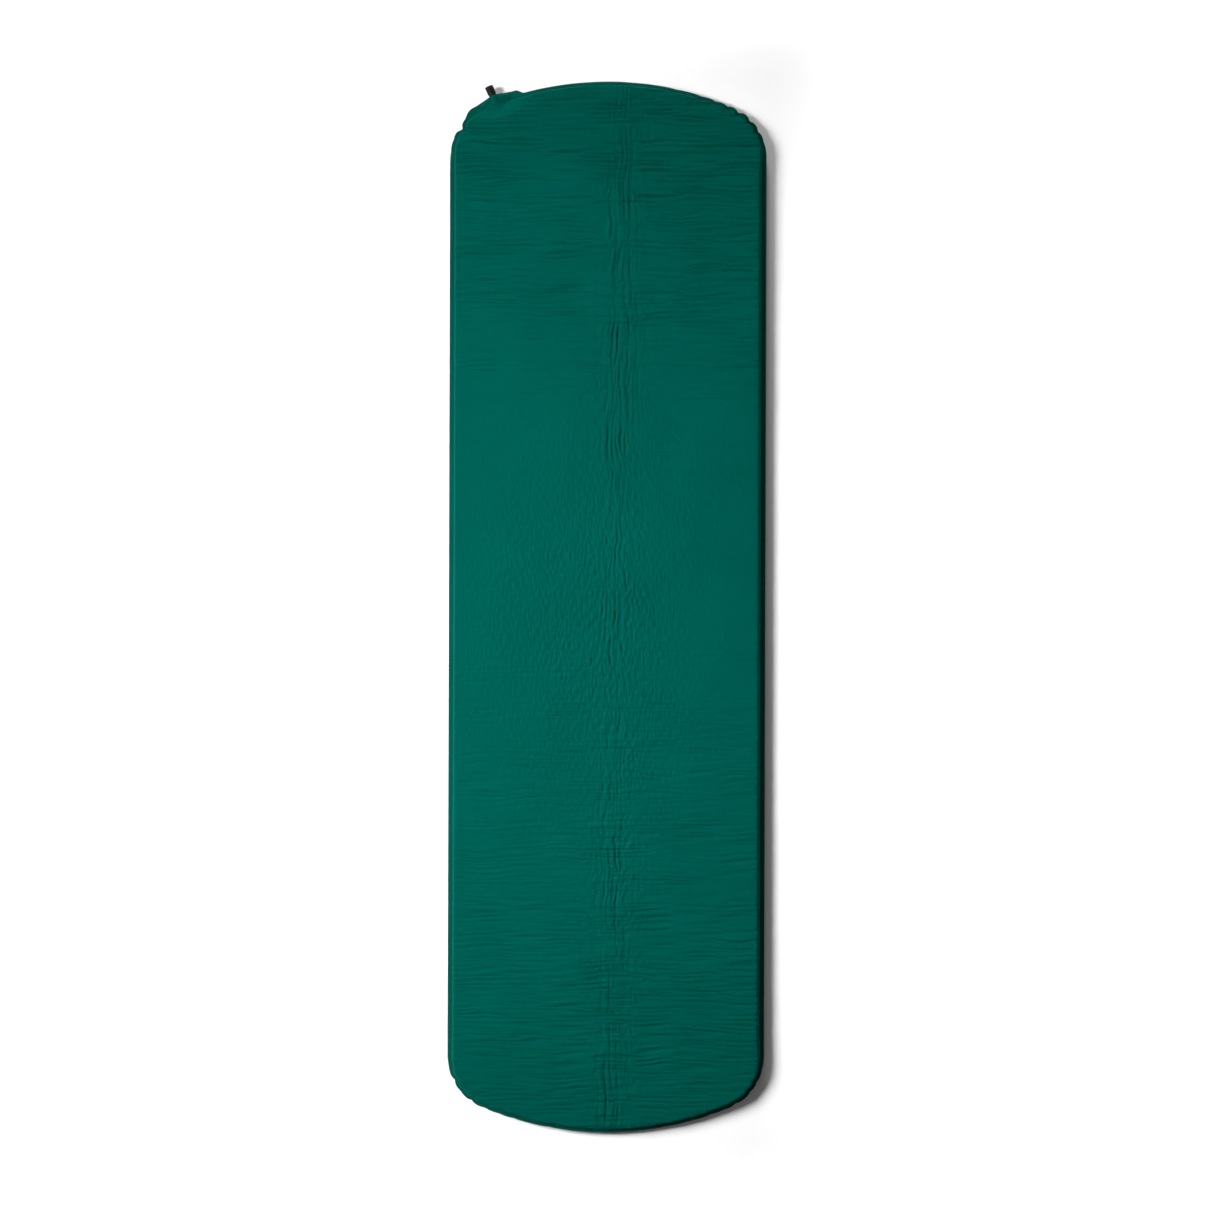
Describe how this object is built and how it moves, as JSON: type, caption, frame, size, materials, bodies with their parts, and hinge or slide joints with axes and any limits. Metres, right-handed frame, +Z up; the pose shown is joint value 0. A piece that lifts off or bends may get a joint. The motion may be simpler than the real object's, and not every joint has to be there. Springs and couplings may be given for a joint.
{
  "type": "inflatable sleeping pad",
  "caption": "Rounded-end self-inflating camping mat: welded fabric sheets over a foam slab, with a twist valve at one head-end corner.",
  "frame": {"origin": "on the floor under the middle of the pad, at the centre of its footprint", "axes": "+Z up from the floor, +Y along the pad towards the head end with the valve, +X to the right of a person lying on their back with their head at +Y seen from above"},
  "size_m": [0.55, 1.83, 0.038],
  "materials": {
    "top_cloth": "satin",
    "bottom_cloth": "matte",
    "foam": "matte",
    "soft_black": "satin",
    "hard_black": "satin",
    "seal_rubber": "satin"
  },
  "bodies": {
    "pad": {"top_fabric": "top_cloth", "bottom_fabric": "bottom_cloth", "foam_core": "foam"},
    "valve": {"valve_base": "soft_black", "valve_stem": "hard_black", "inlet_screen": "hard_black", "valve_plug": "hard_black", "plug_seal": "seal_rubber"},
    "seal_carrier": {"knob_seal": "seal_rubber"},
    "knob": {"valve_knob": "hard_black"}
  },
  "joints": [
    {"name": "deflate", "type": "slide", "parent": "pad", "child": "valve", "axis": [0, 0, 1], "range_m": [-0.0105, 0], "stiffness_N_per_m": 60, "springref_m": 0.004, "deforming": ["top_fabric", "bottom_fabric", "foam_core"]},
    {"name": "knob_lift", "type": "slide", "parent": "valve", "child": "seal_carrier", "axis": [-0.423, 0.9061, 0], "range_m": [0, 0.0045]},
    {"name": "knob_twist", "type": "hinge", "parent": "seal_carrier", "child": "knob", "pos_m": [-0.20119, 0.88988, 0.019], "axis": [-0.423, 0.9061, 0], "range_deg": [0, 270]}
  ],
  "couplings": [
    {"joint": "knob_twist", "follows": "knob_lift", "rad_per_m": 1047.2}
  ]
}
